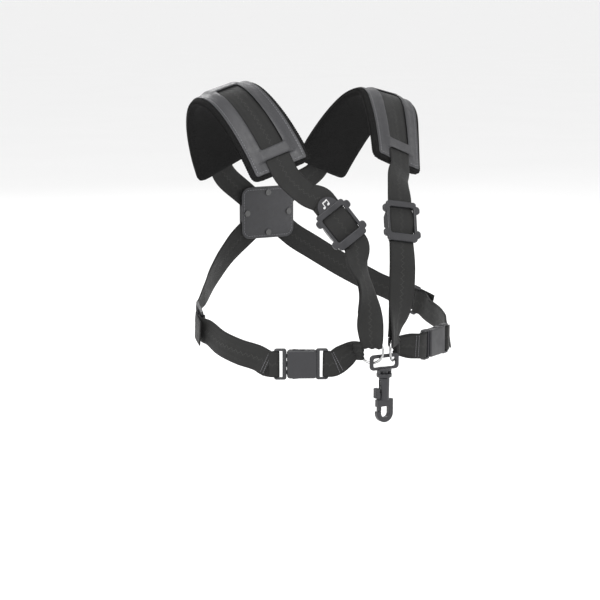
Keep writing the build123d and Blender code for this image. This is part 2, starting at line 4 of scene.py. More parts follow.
import bpy
import numpy as np
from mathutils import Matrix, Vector


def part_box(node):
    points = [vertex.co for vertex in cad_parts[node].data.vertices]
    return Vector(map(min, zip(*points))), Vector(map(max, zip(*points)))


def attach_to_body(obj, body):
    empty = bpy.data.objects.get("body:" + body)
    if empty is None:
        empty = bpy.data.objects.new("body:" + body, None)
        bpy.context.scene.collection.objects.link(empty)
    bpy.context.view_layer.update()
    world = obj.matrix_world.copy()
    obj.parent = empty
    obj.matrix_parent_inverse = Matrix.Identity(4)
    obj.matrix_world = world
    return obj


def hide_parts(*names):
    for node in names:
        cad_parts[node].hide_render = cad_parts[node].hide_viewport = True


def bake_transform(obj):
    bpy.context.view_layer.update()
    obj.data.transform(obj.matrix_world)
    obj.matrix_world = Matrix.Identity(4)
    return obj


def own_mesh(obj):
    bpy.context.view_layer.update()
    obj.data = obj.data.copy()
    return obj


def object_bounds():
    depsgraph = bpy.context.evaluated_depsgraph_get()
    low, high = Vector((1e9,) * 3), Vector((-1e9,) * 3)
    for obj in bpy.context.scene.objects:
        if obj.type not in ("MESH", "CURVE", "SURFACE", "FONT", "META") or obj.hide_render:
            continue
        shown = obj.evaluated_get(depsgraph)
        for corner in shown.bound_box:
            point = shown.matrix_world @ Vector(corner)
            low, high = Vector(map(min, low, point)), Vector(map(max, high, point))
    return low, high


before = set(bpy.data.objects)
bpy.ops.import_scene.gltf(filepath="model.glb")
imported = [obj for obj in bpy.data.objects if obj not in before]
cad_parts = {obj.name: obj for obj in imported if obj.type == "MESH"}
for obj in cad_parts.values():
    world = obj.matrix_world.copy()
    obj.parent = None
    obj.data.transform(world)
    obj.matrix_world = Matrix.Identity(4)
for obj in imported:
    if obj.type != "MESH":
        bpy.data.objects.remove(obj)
cad_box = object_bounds()

# Lengths below are in millimetres, in the CAD frame; meshes are made in metres.
MM = 0.001
WEB_WIDTH = 25.0
WEB_THICK = 1.3
PAD_THICK = 7.8
PAD_WIDTH = 63.0
CLEAR = 0.3
EYE_RADIUS = 2.85
RING_RADIUS = 11.3
RING_TURN = 42.0
EYE_BAR = np.array((0.0, -143.0, -235.0))
SIDES = {"right": -1, "left": 1}

PAD_ROUTE = {
    "right": [
        ((-72, -72, -61), (-0.37, -0.75, 0.55)),
        ((-78, -58, -38), (-0.35, -0.66, 0.67)),
        ((-85, -38, -14), (-0.32, -0.48, 0.82)),
        ((-91, -15, 4), (-0.29, -0.22, 0.93)),
        ((-93, 5, 9), (-0.28, 0.02, 0.96)),
        ((-90, 26, 3), (-0.26, 0.34, 0.90)),
        ((-82, 46, -16), (-0.22, 0.66, 0.72)),
        ((-70, 62, -43), (-0.18, 0.86, 0.48)),
        ((-57, 72, -70), (-0.15, 0.92, 0.36)),
    ],
    "left": [
        ((58, -69, -62), (0.30, -0.78, 0.55)),
        ((65, -55, -42), (0.30, -0.68, 0.67)),
        ((74, -37, -21), (0.29, -0.48, 0.82)),
        ((84, -15, -4), (0.27, -0.22, 0.94)),
        ((88, 4, 0), (0.26, 0.02, 0.96)),
        ((86, 25, -6), (0.25, 0.34, 0.91)),
        ((79, 45, -24), (0.22, 0.66, 0.72)),
        ((68, 61, -50), (0.18, 0.86, 0.48)),
        ((57, 71, -76), (0.15, 0.92, 0.36)),
    ],
}
CHEST_ROUTE = {
    "right": [
        ((-13.3, -138.5, -206), -32),
        ((-12, -135.5, -190), 0),
        ((-13, -133, -174), 26),
        ((-17, -131, -158), 34),
        ((-22, -129, -144), 8),
    ],
    "left": [
        ((17, -138.5, -206), 30),
        ((22, -136, -194), 4),
        ((26, -133, -178), -16),
        ((28.5, -130.5, -160), -20),
        ((29.6, -128.8, -147), -16),
    ],
}
SLIDER_PLACE = {"right": (-33, -116, -108.5), "left": (35.5, -116, -110)}
SLIDER_UP = {"right": (-0.50, 0.365, 0.785), "left": (0.194, 0.397, 0.897)}
SLIDER_BEARING = {"right": -14, "left": -8}
SLIDER_RUN_UP = {"right": 28.0, "left": 24.0}
SLIDER_RUN_DOWN = {"right": 22.0, "left": 20.0}
UPPER_LINK = {
    "right": ((-60, -96.5, -79), (-0.32, -0.80, 0.50)),
    "left": ((47.5, -92.5, -69.5), (0.22, -0.80, 0.57)),
}
CROSS = np.array((0.0, 0.0, -118.0))
CROSS_SLOPE = 39.0
CROSS_HALF = 38.0
CROSS_DEPTH = {"right": 88.4, "left": 86.6}
FLANK_ROUTE = [
    ((52, 79, -158), (0.35, 0.93, 0.05)),
    ((78, 61, -177), (0.58, 0.80, 0.05)),
    ((101, 38, -193), (0.78, 0.61, 0.06)),
]
REAR_SLIDER = {"right": (-124, 5, -212), "left": (124, 5, -207)}
# Distance forward and height of the back webbing where it is woven through the rear slider.
REAR_WEAVE = [(-26, -1.4), (-13.8, -2.4), (-11.2, -2.3), (-2.4, 2.3),
              (0.4, 2.6), (9, 4.9), (19, 4.9), (31, 3.9)]
REAR_BAR = 13.8
SIDE_ROUTE = [
    ((129, -26, -218), (1.00, 0.02, 0.05)),
    ((127.5, -48, -224), (0.96, -0.24, 0.05)),
    ((120, -71, -229), (0.85, -0.52, 0.04)),
    ((110, -88, -232), (0.68, -0.73, 0.02)),
]
BUCKLE_PLACE = {"right": (-77, -115.5, -240), "left": (77, -115.5, -232)}
BUCKLE_BAR = 24.0
# Height and depth of the return layer where its end is sewn round the slider's middle bar.
EYE_ROUTE = [(-20, -2.6), (-13, -4.2), (-7, -5.6), (-2.6, -5.9), (2.6, -5.9), (4.2, -5.2), (4.6, -3.8),
             (4.2, -2.4), (2.6, -1.75), (-2.6, -1.75), (-9, -1.75), (-13, -2.1)]


# --- Directions and routes ------------------------------------------------------
def vec(values):
    return np.array(values, float)


def unit(values):
    values = vec(values)
    return values / np.linalg.norm(values)


def bearing(angle):
    """Horizontal direction turned from straight ahead (-Y) towards +X."""
    return vec((math.sin(math.radians(angle)), -math.cos(math.radians(angle)), 0))


def mirrored(values, sign):
    return vec(values) * (sign, 1, 1)


def frame_at(origin, x_dir, z_dir):
    """Origin, across, up and outward axes of a piece of hardware."""
    z_dir = unit(z_dir)
    x_dir = unit(x_dir)
    return vec(origin), x_dir, np.cross(z_dir, x_dir), z_dir


def slider_frame(side):
    up = unit(SLIDER_UP[side])
    across = unit(np.cross(up, bearing(SLIDER_BEARING[side])))
    return vec(SLIDER_PLACE[side]), across, up, unit(np.cross(across, up))


def rear_frame(side):
    sign = SIDES[side]
    forward = unit(mirrored((0.30, -0.92, -0.26), sign))
    across = unit(np.cross(forward, mirrored((0.94, 0.33, 0.02), sign)))
    return vec(REAR_SLIDER[side]), forward, across, unit(np.cross(across, forward))


def buckle_frame(side):
    sign = SIDES[side]
    along = unit(mirrored((-0.88, -0.475, 0), sign))
    outward = vec((-along[1] * sign, along[0] * sign, 0))
    return frame_at(BUCKLE_PLACE[side], along, outward)


def ring_centre(side):
    return EYE_BAR + vec((12.5 * SIDES[side], 3.2, 5))


def ring_facing(side):
    return bearing(RING_TURN * SIDES[side])


def ring_tangent(side):
    """Horizontal direction in the ring's plane, towards the middle of the chest."""
    inward = np.cross((0, 0, 1), ring_facing(side))
    return inward if inward[0] * SIDES[side] < 0 else -inward


class Route:
    """A smooth curve through stations of place, outward direction and optional direction of travel."""

    def __init__(self, stations, step):
        points = vec([station[0] for station in stations])
        outs = vec([unit(station[1]) for station in stations])
        count = len(points)
        heads = []
        for index, station in enumerate(stations):
            chord = points[min(index + 1, count - 1)] - points[max(index - 1, 0)]
            heads.append(unit(station[2] if len(station) > 2 else chord))
        turns = np.gradient(outs, axis=0)
        places, normals = [], []
        for index in range(count - 1):
            chord = np.linalg.norm(points[index + 1] - points[index])
            pieces = max(2, round(chord / step))
            t = (np.arange(pieces) / pieces)[:, None]
            if index == count - 2:
                t = (np.arange(pieces + 1) / pieces)[:, None]
            curve = (2 * t**3 - 3 * t**2 + 1, t**3 - 2 * t**2 + t, 3 * t**2 - 2 * t**3, t**3 - t**2)
            places.append(curve[0] * points[index] + curve[1] * heads[index] * chord
                          + curve[2] * points[index + 1] + curve[3] * heads[index + 1] * chord)
            normals.append(curve[0] * outs[index] + curve[1] * turns[index]
                           + curve[2] * outs[index + 1] + curve[3] * turns[index + 1])
        self.place = np.concatenate(places)
        ahead = np.gradient(self.place, axis=0)
        ahead /= np.linalg.norm(ahead, axis=1)[:, None]
        self.ahead = ahead
        across = np.cross(ahead, np.concatenate(normals))
        self.across = across / np.linalg.norm(across, axis=1)[:, None]
        self.outward = np.cross(self.across, ahead)
        steps = np.linalg.norm(np.diff(self.place, axis=0), axis=1)
        self.run = np.concatenate([[0], np.cumsum(steps)])
        self.length = self.run[-1]

    def at(self, run, across, outward):
        """Points at distances along the route, across it and outward from it."""
        parts = []
        for table in (self.place, self.across, self.outward):
            parts.append(np.stack([np.interp(run, self.run, table[:, axis]) for axis in range(3)], axis=-1))
        place, side, out = parts
        side /= np.linalg.norm(side, axis=-1)[..., None]
        out /= np.linalg.norm(out, axis=-1)[..., None]
        return place + side * np.asarray(across)[..., None] + out * np.asarray(outward)[..., None]


def chest_stations(side):
    """Ring to pad: the front run of webbing."""
    out = slider_frame(side)[3]
    up = unit(SLIDER_UP[side])
    stations = [(place, bearing(angle)) for place, angle in CHEST_ROUTE[side]]
    for run in (-SLIDER_RUN_DOWN[side], SLIDER_RUN_UP[side]):
        stations.append((vec(SLIDER_PLACE[side]) + up * run, out, up))
    stations.append(UPPER_LINK[side])
    return stations


def pad_route(side, step=1.5):
    return Route(PAD_ROUTE[side], step)


def back_stations(side):
    """From the pad over the crossing to the other side's rear slider."""
    sign = SIDES[side]
    slope = vec((-sign * math.cos(math.radians(CROSS_SLOPE)), 0, -math.sin(math.radians(CROSS_SLOPE))))
    centre = CROSS + (0, CROSS_DEPTH[side], 0)
    stations = [(centre + slope * run, (0, 1, 0), slope) for run in (-CROSS_HALF, CROSS_HALF)]
    stations += [(mirrored(place, -sign), mirrored(out, -sign)) for place, out in FLANK_ROUTE]
    return stations


def wrap(centre, outward, away, radius, start, stop, steps=6):
    """Stations of webbing that turns round a bar, from one angle to another."""
    stations = []
    for angle in np.radians(np.linspace(start, stop, steps + 1)):
        radial = unit(vec(away) * math.cos(angle) + vec(outward) * math.sin(angle))
        stations.append((centre + radial * radius, radial))
    return stations


# --- Meshes ---------------------------------------------------------------------
def new_object(name, points, faces, uvs=None, material=None):
    """Mesh object from points in millimetres, with a UV map in metres of cloth."""
    mesh = bpy.data.meshes.new(name)
    mesh.from_pydata((np.asarray(points) * MM).tolist(), [], faces)
    if uvs is not None:
        layer = mesh.uv_layers.new(name="cloth")
        corners = np.zeros(len(mesh.loops), int)
        mesh.loops.foreach_get("vertex_index", corners)
        layer.data.foreach_set("uv", (np.asarray(uvs)[corners] * MM).astype(np.float32).ravel())
    mesh.polygons.foreach_set("use_smooth", [True] * len(mesh.polygons))
    mesh.validate()
    piece = bpy.data.objects.new(name, mesh)
    bpy.context.scene.collection.objects.link(piece)
    if material:
        mesh.materials.append(material)
    return piece


def cloth_coordinates(mesh):
    """Across and along of each vertex, in millimetres, from the UV map."""
    corners = np.zeros(len(mesh.loops), int)
    mesh.loops.foreach_get("vertex_index", corners)
    uvs = np.zeros(len(mesh.loops) * 2)
    mesh.uv_layers["cloth"].data.foreach_get("uv", uvs)
    table = np.zeros((len(mesh.vertices), 2))
    table[corners] = uvs.reshape(-1, 2) / MM
    return table[:, 0], table[:, 1]


def attach(piece, slot, body, *nodes):
    """Parents the piece to its body's empty and hides the CAD nodes it replaces; the slot is not used."""
    if nodes:
        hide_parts(*nodes)
    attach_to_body(piece, body)


def ripple(seed, height):
    """Gentle unevenness of webbing, as a function of distance along and across."""
    chance = random.Random(seed)
    waves = [(chance.uniform(26, 70), chance.uniform(0, 6.3), chance.uniform(-1, 1)) for _ in range(5)]

    def lift(run, across):
        total = 0
        for length, phase, tilt in waves:
            total = total + np.sin(run * 6.28 / length + phase) * (0.35 + tilt * across / 12.5)
        return total * height / 3

    return lift


def ribbon(name, route, half, thick, material, lift=None, columns=12, rim=((0.3, 0.0),), edge=0.8):
    """Band along a route: two faces and rounded edges, closed at both ends.

    half and thick are numbers or arrays along the route. lift(run, across) raises both faces.
    rim lists how far the edge stands out and at what share of the half thickness.
    """
    rows = len(route.run)
    half = np.broadcast_to(half, rows).astype(float)
    thick = np.broadcast_to(thick, rows).astype(float)
    spread = np.linspace(-1, 1, columns + 1)
    section = [(c, 0.0, -1.0 if abs(c) < 0.99 else -edge) for c in spread]
    section += [(1, out, -level) for out, level in rim[::-1] if level > 0]
    section += [(1, out, level) for out, level in rim]
    section += [(c, 0.0, 1.0 if abs(c) < 0.99 else edge) for c in spread[::-1]]
    section += [(-1, -out, level) for out, level in rim[::-1] if level > 0]
    section += [(-1, -out, -level) for out, level in rim]
    share, extra, level = vec(section).T
    run = np.repeat(route.run[:, None], len(share), axis=1)
    cloth = np.repeat((share * WEB_WIDTH / 2)[None, :], rows, axis=0)
    across = share[None, :] * half[:, None] + extra[None, :]
    outward = level[None, :] * thick[:, None] / 2
    if lift is not None:
        outward = outward + lift(run, cloth)
    points = (route.place[:, None, :] + route.across[:, None, :] * across[..., None]
              + route.outward[:, None, :] * outward[..., None])
    width = len(share)
    faces = []
    for row in range(rows - 1):
        for column in range(width):
            after = (column + 1) % width
            faces.append((row * width + column, row * width + after,
                          (row + 1) * width + after, (row + 1) * width + column))
    loop = list(range(width))
    faces.append(loop[::-1])
    faces.append([(rows - 1) * width + index for index in loop])
    uvs = np.stack([cloth + extra[None, :], run], axis=-1).reshape(-1, 2)
    return new_object(name, points.reshape(-1, 3), faces, uvs, material)


def subdivide(piece, levels):
    modifier = piece.modifiers.new("smooth", "SUBSURF")
    modifier.levels = modifier.render_levels = levels
    return piece


def apply_modifiers(piece):
    """Replaces the mesh by its evaluated form."""
    graph = bpy.context.evaluated_depsgraph_get()
    mesh = bpy.data.meshes.new_from_object(piece.evaluated_get(graph))
    piece.modifiers.clear()
    piece.data = mesh
    return piece


def stitches(name, lines, material, pitch=3.0, length=2.2, radius=0.3):
    """Threads along lines of (points, normals): one short rounded thread for each pitch."""
    points, faces = [], []
    sides = 6
    profile = [(-0.5, 0.0), (-0.42, 0.7), (-0.2, 1.0), (0.2, 1.0), (0.42, 0.7), (0.5, 0.0)]
    for places, normals in lines:
        places, normals = vec(places), vec(normals)
        run = np.concatenate([[0], np.cumsum(np.linalg.norm(np.diff(places, axis=0), axis=1))])
        for middle in np.arange(pitch / 2, run[-1], pitch):
            spot, ahead, up = [], [], []
            for axis in range(3):
                spot.append(np.interp(middle, run, places[:, axis]))
                ahead.append(np.interp(middle + 0.6, run, places[:, axis])
                             - np.interp(middle - 0.6, run, places[:, axis]))
                up.append(np.interp(middle, run, normals[:, axis]))
            spot, ahead, up = vec(spot), unit(ahead), unit(up)
            side = np.cross(ahead, up)
            first = len(points)
            for along, swell in profile:
                sag = (1 - swell) * radius
                for turn in range(sides):
                    angle = 6.283 * turn / sides
                    ring = side * math.cos(angle) + up * math.sin(angle)
                    points.append(spot + ahead * along * length + ring * radius * max(swell, 0.15) - up * sag)
            for row in range(len(profile) - 1):
                for turn in range(sides):
                    after = (turn + 1) % sides
                    low = first + row * sides
                    faces.append((low + turn, low + after, low + sides + after, low + sides + turn))
    return new_object(name, points, faces, None, material)


# --- Materials --------------------------------------------------------------------
class Paint:
    """A Principled material with small helpers for its procedural nodes."""

    def __init__(self, name, **values):
        self.material = bpy.data.materials.new(name)
        self.material.use_nodes = True
        self.tree = self.material.node_tree
        self.shader = self.tree.nodes["Principled BSDF"]
        for socket, value in values.items():
            self.shader.inputs[socket.replace("_", " ")].default_value = value

    def add(self, kind, inputs=(), **settings):
        node = self.tree.nodes.new("ShaderNode" + kind)
        for key, value in settings.items():
            setattr(node, key, value)
        for index, value in enumerate(inputs):
            if value is None:
                continue
            if isinstance(value, bpy.types.NodeSocket):
                self.tree.links.new(value, node.inputs[index])
            else:
                node.inputs[index].default_value = value
        return node.outputs[0]

    def math(self, operation, *values):
        return self.add("Math", values, operation=operation)

    def cloth(self):
        """The UV map's across and along, in millimetres."""
        uv = self.add("UVMap", uv_map="cloth")
        scaled = self.add("VectorMath", (uv, (1000, 1000, 0)), operation="MULTIPLY")
        split = self.add("SeparateXYZ", (scaled,)).node
        return split.outputs[0], split.outputs[1]

    def place(self, scale):
        """Object coordinates; scale is one over the size of a detail in metres."""
        return self.add("VectorMath", (self.add("TexCoord").node.outputs["Object"], (scale,) * 3),
                        operation="MULTIPLY")

    def noise(self, scale, detail=2.0, rough=0.5):
        node = self.add("TexNoise", (self.place(scale),)).node
        node.inputs["Scale"].default_value = 1.0
        node.inputs["Detail"].default_value = detail
        node.inputs["Roughness"].default_value = rough
        return node.outputs["Fac"]

    def remap(self, value, low, high, out_low=0.0, out_high=1.0):
        return self.add("MapRange", (value, low, high, out_low, out_high), interpolation_type="SMOOTHSTEP")

    def mix(self, share, first, second):
        node = self.tree.nodes.new("ShaderNodeMix")
        node.data_type = "RGBA"
        for socket, value in ((node.inputs[0], share), (node.inputs[6], first), (node.inputs[7], second)):
            if isinstance(value, bpy.types.NodeSocket):
                self.tree.links.new(value, socket)
            else:
                socket.default_value = value
        return node.outputs[2]

    def colour(self, socket):
        self.tree.links.new(socket, self.shader.inputs["Base Color"])

    def roughness(self, value, low, high):
        self.tree.links.new(self.remap(value, 0.3, 0.7, low, high), self.shader.inputs["Roughness"])

    def bump(self, height, distance, strength):
        node = self.tree.nodes.new("ShaderNodeBump")
        node.inputs["Strength"].default_value = strength
        node.inputs["Distance"].default_value = distance
        self.tree.links.new(height, node.inputs["Height"])
        self.tree.links.new(node.outputs[0], self.shader.inputs["Normal"])


def grey(level, blue=1.0):
    return (level, level, level * blue, 1.0)


def webbing_material():
    """Polyester webbing: herringbone ribs, a zigzag line down the middle and corded edges."""
    paint = Paint("webbing", Roughness=0.62, Sheen_Weight=0.05, Sheen_Roughness=0.45, Specular_IOR_Level=0.26)
    across, along = paint.cloth()
    slant = paint.math("MULTIPLY", paint.math("PINGPONG", across, 3.1), 0.75)
    rib = paint.math("SINE", paint.math("MULTIPLY", paint.math("ADD", along, slant), 5.2))
    yarn = paint.math("SINE", paint.math("MULTIPLY", across, 8.4))
    weave = paint.math("ADD", paint.math("MULTIPLY", rib, 0.32), paint.math("MULTIPLY", yarn, 0.18))
    weave = paint.math("ADD", weave, 0.5)
    zigzag = paint.math("SUBTRACT", paint.math("PINGPONG", along, 3.0), 1.5)
    distance = paint.math("ABSOLUTE", paint.math("SUBTRACT", across, zigzag))
    line = paint.remap(distance, 0.25, 0.75, 1.0, 0.0)
    dots = paint.remap(paint.math("SINE", paint.math("MULTIPLY", along, 4.2)), -0.4, 0.5)
    line = paint.math("MULTIPLY", line, dots)
    border = paint.remap(paint.math("ABSOLUTE", across), 11.3, 11.9)
    worn = paint.noise(45, 4, 0.6)
    fuzz = paint.noise(900, 2)
    light = paint.math("ADD", paint.math("MULTIPLY", weave, 0.5), paint.math("MULTIPLY", line, 1.3))
    light = paint.math("ADD", light, paint.math("MULTIPLY", paint.math("SUBTRACT", worn, 0.5), 0.5))
    light = paint.math("SUBTRACT", light, paint.math("MULTIPLY", border, 0.25))
    paint.colour(paint.mix(light, grey(0.004), grey(0.028, 0.95)))
    height = paint.math("ADD", weave, paint.math("MULTIPLY", line, 0.7))
    height = paint.math("ADD", height, paint.math("MULTIPLY", fuzz, 0.35))
    paint.bump(height, 0.00022, 0.8)
    paint.roughness(paint.math("ADD", worn, paint.math("MULTIPLY", line, -0.1)), 0.52, 0.72)
    return paint.material


def mesh_material():
    """Spacer mesh of the pad: black knit with small dark holes."""
    paint = Paint("pad_mesh", Roughness=0.88, Sheen_Weight=0.02, Sheen_Roughness=0.5, Specular_IOR_Level=0.12)
    cells = paint.add("TexVoronoi", (paint.place(620),)).node
    cells.feature = "DISTANCE_TO_EDGE"
    cells.inputs["Scale"].default_value = 1.0
    knit = paint.remap(cells.outputs[0], 0.05, 0.35, 1.0, 0.0)
    tone = paint.noise(60, 3)
    light = paint.math("ADD", paint.math("MULTIPLY", knit, 0.6), paint.math("MULTIPLY", tone, 0.3))
    paint.colour(paint.mix(light, grey(0.0015), grey(0.011)))
    paint.bump(knit, 0.0005, 0.9)
    return paint.material


def leather_material():
    """Smooth dark leather with a fine pebbled grain, creases and rubbed high spots."""
    paint = Paint("leather", Roughness=0.42, Specular_IOR_Level=0.5, Coat_Weight=0.08, Coat_Roughness=0.35)
    cells = paint.add("TexVoronoi", (paint.place(1500),)).node
    cells.feature = "DISTANCE_TO_EDGE"
    cells.inputs["Scale"].default_value = 1.0
    grain = paint.remap(cells.outputs[0], 0.0, 0.4)
    creases = paint.noise(180, 5, 0.65)
    tone = paint.noise(35, 3)
    light = paint.math("ADD", paint.math("MULTIPLY", grain, 0.35), paint.math("MULTIPLY", tone, 0.6))
    paint.colour(paint.mix(light, grey(0.013, 1.10), grey(0.042, 1.12)))
    height = paint.math("ADD", paint.math("MULTIPLY", grain, 0.5), paint.math("MULTIPLY", creases, 0.8))
    paint.bump(height, 0.00013, 0.8)
    paint.roughness(creases, 0.36, 0.55)
    return paint.material


def plastic_material():
    """Moulded acetal: satin, faintly orange-peeled, with rubbed patches."""
    paint = Paint("plastic", Roughness=0.42, Specular_IOR_Level=0.5)
    peel = paint.noise(2600, 2)
    tone = paint.noise(70, 4, 0.6)
    paint.colour(paint.mix(tone, grey(0.008, 1.2), grey(0.02, 1.18)))
    paint.bump(peel, 0.00004, 0.55)
    paint.roughness(tone, 0.33, 0.5)
    return paint.material


def metal_material(name, level, low, high):
    """Plated metal with fine scratches."""
    paint = Paint(name, Metallic=1.0, Roughness=low)
    marks = paint.noise(700, 4, 0.7)
    paint.colour(paint.mix(marks, grey(level * 0.86), grey(level)))
    paint.bump(marks, 0.00002, 0.4)
    paint.roughness(marks, low, high)
    return paint.material


def thread_material():
    """Bonded thread: two plies that shine a little."""
    paint = Paint("thread", Roughness=0.5, Sheen_Weight=0.2)
    twist = paint.noise(2200, 1)
    paint.colour(paint.mix(twist, grey(0.06, 1.1), grey(0.2, 1.1)))
    paint.bump(twist, 0.0001, 0.7)
    return paint.material


WEBBING = webbing_material()
MESH = mesh_material()
LEATHER = leather_material()
PLASTIC = plastic_material()
CHROME = metal_material("chrome", 0.42, 0.12, 0.25)
RIVET = metal_material("rivet", 0.12, 0.25, 0.4)
SILVER = metal_material("silver", 0.82, 0.2, 0.34)
THREAD = thread_material()


# --- Shoulder pads -------------------------------------------------------------------
# How far the cushion's edge stands out, and at what share of its half thickness.
RIM_PAD = ((1.5, 0.72), (2.3, 0.36), (2.6, 0.0))
# Distances from the end of the leather panel.
FLAP = 14.6               # where the webbing comes out from under the leather
SLIT = 15.6
BRIDGE_END = 26.0
# Half widths across the leather panel and the half length of the bridge over its crest.
WINDOW_HALF = 12.2
CREST_HALF = 8.5
# Seam of the leather: distance across from its middle line, along from its ends, and its height.
SEAM_ACROSS = 24.4
SEAM_END = 6.8
SEAM_LEVEL = 8.85


def pad_half_width(run, length):
    """Half width of the cushion, with rounded corners at its ends."""
    corner = 7.0
    beyond = np.clip(np.maximum(corner - run, run - (length - corner)), 0, corner)
    return PAD_WIDTH / 2 - 2.4 - corner + np.sqrt(corner**2 - beyond**2 * 0.9)


def puff(piece, free, pressure, limit):
    """Inflates the free points of a closed mesh as cloth, by no more than the limit."""
    rest = vec([vertex.co for vertex in piece.data.vertices])
    held = piece.vertex_groups.new(name="held")
    held.add([index for index, moves in enumerate(free) if not moves], 1.0, "REPLACE")
    cloth = piece.modifiers.new("cloth", "CLOTH")
    settings = cloth.settings
    settings.quality = 6
    settings.mass = 0.2
    settings.tension_stiffness = settings.compression_stiffness = 18
    settings.bending_stiffness = 1.5
    settings.use_pressure = True
    settings.uniform_pressure_force = pressure
    settings.vertex_group_mass = "held"
    settings.effector_weights.gravity = 0
    for number in range(1, 17):
        bpy.context.scene.frame_set(number)
    graph = bpy.context.evaluated_depsgraph_get()
    moved = vec([vertex.co for vertex in piece.evaluated_get(graph).data.vertices])
    piece.modifiers.clear()
    bpy.context.scene.frame_set(1)
    shift = moved - rest
    size = np.linalg.norm(shift, axis=1)[:, None]
    shift *= np.minimum(1, limit * MM / np.maximum(size, 1e-9))
    piece.data.vertices.foreach_set("co", (rest + shift).astype(np.float32).ravel())
    piece.data.update()


def cushion(side):
    """Foam pad in its ribbed spacer-mesh cover."""
    route = Route(PAD_ROUTE[side], 3.4)
    route.place = route.place + route.outward * PAD_THICK / 2
    run, length = route.run, route.length
    near_end = np.minimum(run, length - run)
    thick = PAD_THICK * (0.62 + 0.38 * np.sqrt(1 - (1 - np.clip(near_end / 5, 0, 1)) ** 2))
    half = pad_half_width(run, length)
    piece = ribbon(f"{side}_cushion", route, half, thick, MESH, None, 16, RIM_PAD, 0.97)
    across, _ = cloth_coordinates(piece.data)
    puff(piece, np.abs(across) > 10.0, 3.0, 0.9)
    apply_modifiers(subdivide(piece, 3))
    rib_cover(piece)
    attach(piece, "mesh", "harness", f"{side}_pad_cover", f"{side}_pad_foam")


def rib_cover(piece):
    """Raises the knitted ribs that run over the cover's edges."""
    mesh = piece.data
    count = len(mesh.vertices)
    across, along = cloth_coordinates(mesh)
    points, normals = np.zeros(count * 3), np.zeros(count * 3)
    mesh.vertices.foreach_get("co", points)
    mesh.vertices.foreach_get("normal", normals)
    weight = np.clip((np.abs(across) - 10.2) / 1.5, 0, 1)
    rib = np.abs(np.sin((along + 0.35 * np.abs(across)) * math.pi / 2.5)) - 0.6
    points = points.reshape(-1, 3) + normals.reshape(-1, 3) * (weight * rib * 0.55 * MM)[:, None]
    mesh.vertices.foreach_set("co", points.astype(np.float32).ravel())
    mesh.update()


def leather_rows(length):
    """Stations along the panel, closer together where its shape changes."""
    middle = length / 2
    front = [4.0, 5.3, 6.8, 9.5, 12.4, FLAP, SLIT, 16.4, 19.5, 22.5, 25.2, BRIDGE_END]
    window = list(np.linspace(BRIDGE_END, middle - CREST_HALF, 18)[1:])
    crest = [middle - 7.6, middle - 4.0]
    half = front + window + crest
    return vec(half + [middle] + [length - run for run in reversed(half)])


def leather_level(across, near_end, to_middle):
    """Middle of the leather above the pad's underside."""
    away = np.abs(across)
    rise = np.clip((near_end - 11) / 5, 0, 1)
    level = 8.45 + rise * 2.0 * np.exp(-((away - 15.0) / 3.4) ** 2)
    over = (away < 13) & (near_end >= SLIT - 0.1)
    level = np.where(over, np.maximum(level, 10.35), level)
    bridge = ((near_end >= 16.2) & (near_end <= 25.4)) | (to_middle < 7.8)
    level = np.where(bridge & (away < 15.5), level + 0.75, level)
    under = (away < 13) & (near_end < SLIT - 0.1)
    level = np.where(under, 7.45, level)
    level = np.where((near_end < SLIT - 0.1) & (away >= 13) & (away < 18), 8.1, level)
    groove = np.exp(-((away - SEAM_ACROSS) / 0.6) ** 2)
    groove = groove + np.where(away > 13, np.exp(-((near_end - SEAM_END) / 0.7) ** 2), 0)
    return level - 0.35 * np.minimum(groove, 1) - np.where(away > 26.5, 0.3, 0)


def leather(side):
    """Leather top with two windows and bridges, sewn to the cushion."""
    route = pad_route(side)
    rows = leather_rows(route.length)
    half = [4.0, 8.0, WINDOW_HALF, 14.6, 17.0, 19.5, 22.4, 24.4, 25.8, 27.0]
    columns = vec([-value for value in reversed(half)] + [0.0] + half)
    run, across = np.meshgrid(rows, columns, indexing="ij")
    near_end = np.minimum(run, route.length - run)
    to_middle = np.abs(run - route.length / 2)
    narrow = np.where(near_end < 6, 1 - 0.02 * (6 - near_end), 1)
    points = route.at(run, across * narrow, leather_level(across, near_end, to_middle))
    count = len(columns)
    faces = []
    for row in range(len(rows) - 1):
        centre = (rows[row] + rows[row + 1]) / 2
        edge = min(centre, route.length - centre)
        window = BRIDGE_END < edge < route.length / 2 - CREST_HALF
        slit = FLAP < edge < SLIT
        for column in range(count - 1):
            if (window or slit) and abs(columns[column] + columns[column + 1]) / 2 < WINDOW_HALF:
                continue
            low = row * count + column
            faces.append((low, low + count, low + count + 1, low + 1))
    uvs = np.stack([across, run], axis=-1).reshape(-1, 2)
    piece = new_object(f"{side}_leather", points.reshape(-1, 3), faces, uvs, LEATHER)
    solid = piece.modifiers.new("thick", "SOLIDIFY")
    solid.thickness = 1.25 * MM
    solid.offset = 0
    subdivide(piece, 2)
    apply_modifiers(piece)
    attach(piece, "leather", "harness", f"{side}_pad_panel")
    sew_leather(side, route)


def sew_leather(side, route):
    """Thread near the leather's edges."""
    lines = []
    for across in (-SEAM_ACROSS, SEAM_ACROSS):
        run = np.arange(SEAM_END, route.length - SEAM_END, 1.5)
        level = np.full(len(run), SEAM_LEVEL)
        lines.append((route.at(run, np.full(len(run), across), level), normals_at(route, run)))
    for run_end in (SEAM_END, route.length - SEAM_END):
        for sign in (-1, 1):
            across = np.arange(14.5, 24.5, 1.0) * sign
            run = np.full(len(across), run_end)
            lines.append((route.at(run, across, np.full(len(run), SEAM_LEVEL)), normals_at(route, run)))
    piece = stitches(f"{side}_leather_thread", lines, THREAD, 3.0, 2.1, 0.27)
    attach(piece, "leather", "harness")


def normals_at(route, run):
    return np.stack([np.interp(run, route.run, route.outward[:, axis]) for axis in range(3)], axis=-1)


